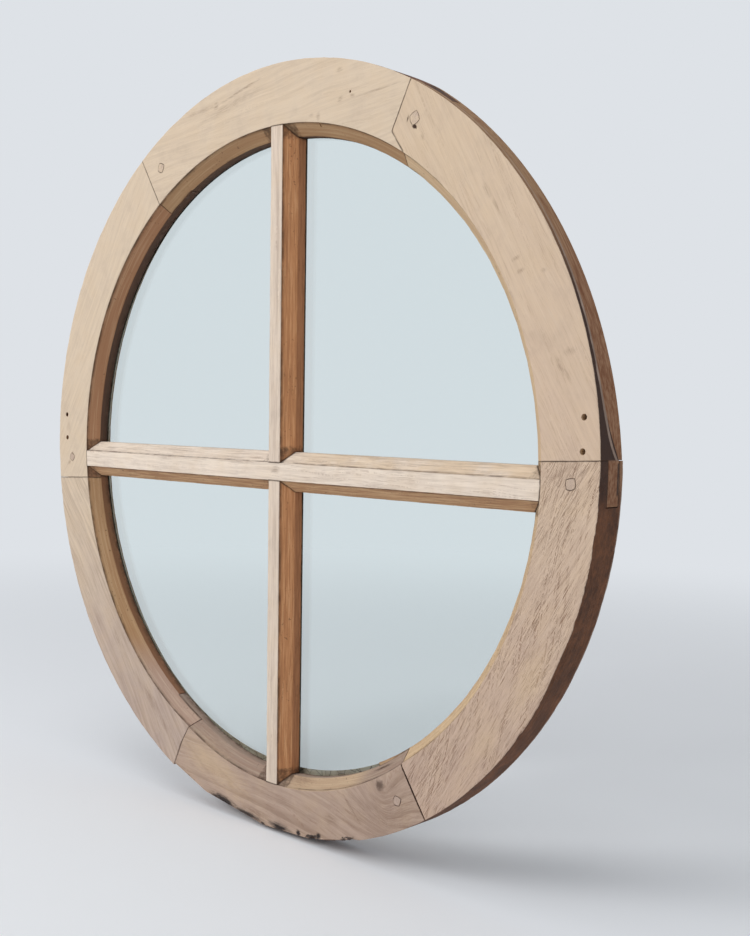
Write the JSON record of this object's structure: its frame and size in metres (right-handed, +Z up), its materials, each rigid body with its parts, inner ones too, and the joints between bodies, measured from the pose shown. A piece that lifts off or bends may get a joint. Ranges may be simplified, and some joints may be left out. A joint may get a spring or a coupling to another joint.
{
  "type": "round window",
  "caption": "Round oak window with a ring frame of pegged curved pieces, a glazing cross and clear old panes.",
  "frame": {"origin": "centre of the ring on the plane of its face", "axes": "+X to the right seen from the front, +Y from the face towards the back, +Z up"},
  "size_m": [0.7, 0.032, 0.7],
  "materials": {
    "oak": "old oak, stripped and sanded, unfinished",
    "glass": "clear old sheet glass",
    "putty": "hard linseed putty",
    "steel": "plain glazing sprigs"
  },
  "bodies": {
    "root": {"felloe_top": "oak", "felloe_upper_right": "oak", "felloe_lower_right": "oak", "felloe_bottom": "oak", "felloe_lower_left": "oak", "felloe_upper_left": "oak", "joint_pegs": "oak", "glazing_bar_vertical": "oak", "glazing_bar_horizontal": "oak", "pane_upper_right": "glass", "pane_lower_right": "glass", "pane_upper_left": "glass", "pane_lower_left": "glass", "putty_upper_right": "putty", "putty_lower_right": "putty", "putty_upper_left": "putty", "putty_lower_left": "putty", "glazing_sprigs": "steel"}
  },
  "joints": []
}
